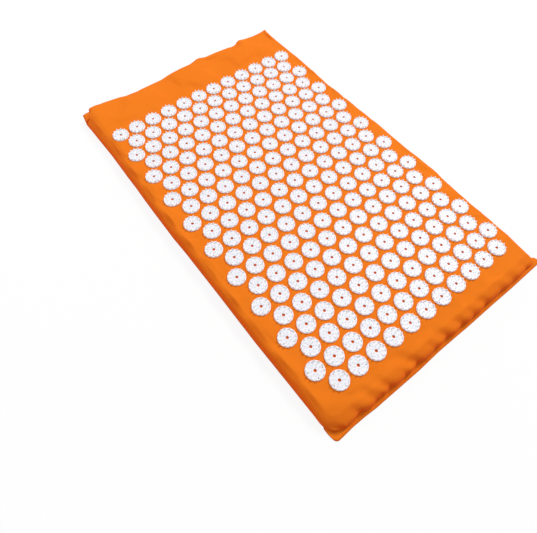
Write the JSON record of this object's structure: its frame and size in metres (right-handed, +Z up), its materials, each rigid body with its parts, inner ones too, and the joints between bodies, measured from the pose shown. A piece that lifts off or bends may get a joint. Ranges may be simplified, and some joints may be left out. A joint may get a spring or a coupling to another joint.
{
  "type": "acupressure mat",
  "caption": "Flat rectangular foam mat in a zipped orange cotton cover, with staggered rows of small white spiked discs over its upper face.",
  "frame": {"origin": "on the floor under the middle of the mat's bounding box", "axes": "+Z up out of the spiked face, +Y along the mat towards the zipped end, +X across the mat, to the right seen from the near end"},
  "size_m": [0.42, 0.686, 0.0279],
  "materials": {
    "cover_cotton": "matte",
    "foam": "matte",
    "disc_plastic": "satin",
    "zip_tape": "matte",
    "zip_nylon": "satin",
    "zip_metal": "satin"
  },
  "bodies": {
    "mat": {"cover_top_panel": "cover_cotton", "cover_bottom_panel": "cover_cotton", "foam_core": "foam", "disc_row_01": "disc_plastic", "disc_row_02": "disc_plastic", "disc_row_03": "disc_plastic", "disc_row_04": "disc_plastic", "disc_row_05": "disc_plastic", "disc_row_06": "disc_plastic", "disc_row_07": "disc_plastic", "disc_row_08": "disc_plastic", "disc_row_09": "disc_plastic", "disc_row_10": "disc_plastic", "disc_row_11": "disc_plastic", "disc_row_12": "disc_plastic", "disc_row_13": "disc_plastic", "disc_row_14": "disc_plastic", "disc_row_15": "disc_plastic", "disc_row_16": "disc_plastic", "disc_row_17": "disc_plastic", "disc_row_18": "disc_plastic", "disc_row_19": "disc_plastic", "disc_row_20": "disc_plastic", "zip_tape_upper": "zip_tape", "zip_tape_lower": "zip_tape", "zip_teeth_upper": "zip_nylon", "zip_teeth_lower": "zip_nylon", "zip_stop_closed_end": "zip_metal", "zip_stop_open_end": "zip_metal"},
    "slider": {"zip_slider": "zip_metal"},
    "pull_tab": {"zip_pull_tab": "zip_metal"}
  },
  "joints": [
    {"name": "zip_slide", "type": "slide", "parent": "mat", "child": "slider", "axis": [-1, 0, 0], "range_m": [0, 0.3144]},
    {"name": "tab_swing", "type": "hinge", "parent": "slider", "child": "pull_tab", "pos_m": [0.1572, 0.3312, 0.0092], "axis": [0, 0, -1], "range_deg": [0, 170]}
  ]
}
